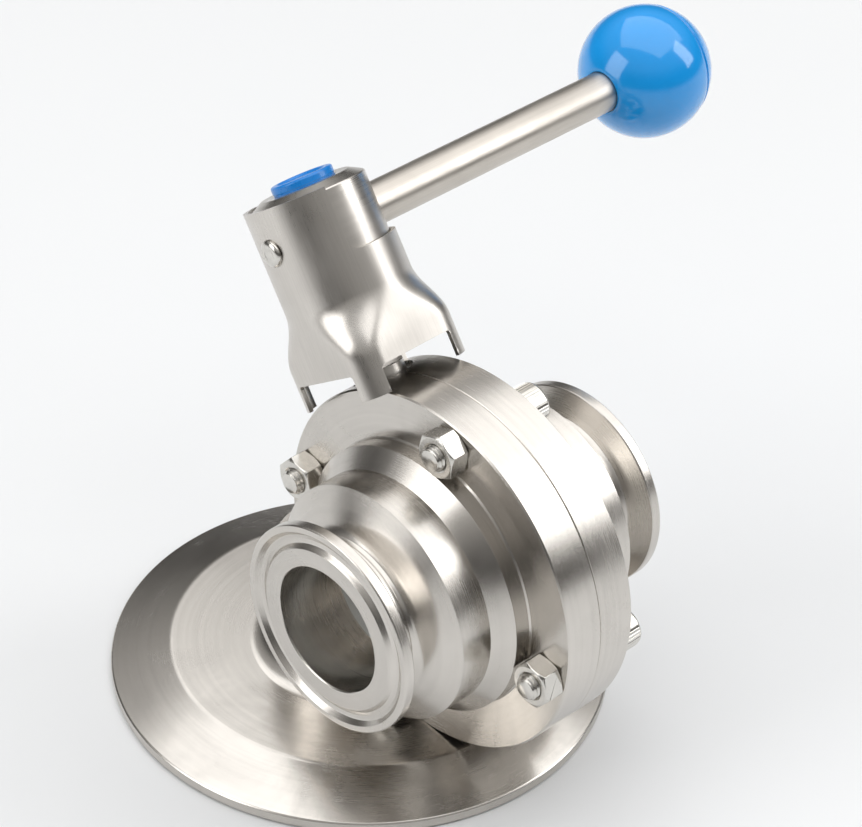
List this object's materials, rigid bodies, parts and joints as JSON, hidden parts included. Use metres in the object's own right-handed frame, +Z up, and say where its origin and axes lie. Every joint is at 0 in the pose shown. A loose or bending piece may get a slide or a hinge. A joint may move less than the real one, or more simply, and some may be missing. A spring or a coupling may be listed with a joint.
{
  "type": "pull-handle sanitary ball valve",
  "caption": "Two-piece flanged sanitary ball valve with clamp-ferrule ends and a spring-locked pull handle, standing on a round clamp-ferrule foot.",
  "frame": {"origin": "centre of the foot's flat underside", "axes": "+Z up out of the foot, +X along the pipe from the nut side to the screw-head side; the stem leans 35.8 degrees from +Z towards +Y"},
  "size_m": [0.1817, 0.1346, 0.1324],
  "materials": {
    "turned_steel": "lathe-turned stainless with fine concentric lines",
    "foot_steel": "turned stainless, flat zone semi-polished",
    "fastener_steel": "bright stainless fasteners",
    "inner_steel": "machined stainless",
    "polished_steel": "mirror-polished stainless ball",
    "sleeve_steel": "pressed stainless, satin along its length",
    "block_steel": "turned stainless",
    "bar_steel": "satin drawn bar",
    "insert_brass": "plain machined brass",
    "ptfe": "white, slightly waxy",
    "seal_rubber": "black",
    "blue_plastic": "glossy moulded blue",
    "cap_blue": "moulded blue, slightly satin"
  },
  "bodies": {
    "root": {"foot_ferrule": "foot_steel", "foot_boss": "foot_steel", "inlet_ferrule": "turned_steel", "outlet_ferrule": "turned_steel", "inlet_body": "turned_steel", "outlet_body": "turned_steel", "body_gasket": "ptfe", "inlet_seat": "ptfe", "outlet_seat": "ptfe", "thrust_washer": "ptfe", "stem_bush": "ptfe", "flange_screws": "fastener_steel", "flange_nuts": "fastener_steel"},
    "stem": {"stem": "inner_steel", "valve_ball": "polished_steel", "stem_o_rings": "seal_rubber", "spring_washer": "inner_steel", "stem_screw": "fastener_steel", "lift_spring": "inner_steel"},
    "handle": {"handle_sleeve": "sleeve_steel", "handle_block": "block_steel", "handle_bar": "bar_steel", "sleeve_rivet": "fastener_steel", "knob_insert": "insert_brass", "knob_shell": "blue_plastic", "knob_end": "blue_plastic", "cap_plug": "cap_blue"}
  },
  "joints": [
    {"name": "handle_turn", "type": "hinge", "parent": "root", "child": "stem", "pos_m": [0, -0.0305, 0.05185], "axis": [0, 0.585, 0.8111], "range_deg": [0, 90]},
    {"name": "handle_lift", "type": "slide", "parent": "stem", "child": "handle", "axis": [0, 0.585, 0.8111], "range_m": [-0.006, 0], "stiffness_N_per_m": 400, "springref_m": -0.019, "deforming": ["lift_spring"]}
  ]
}
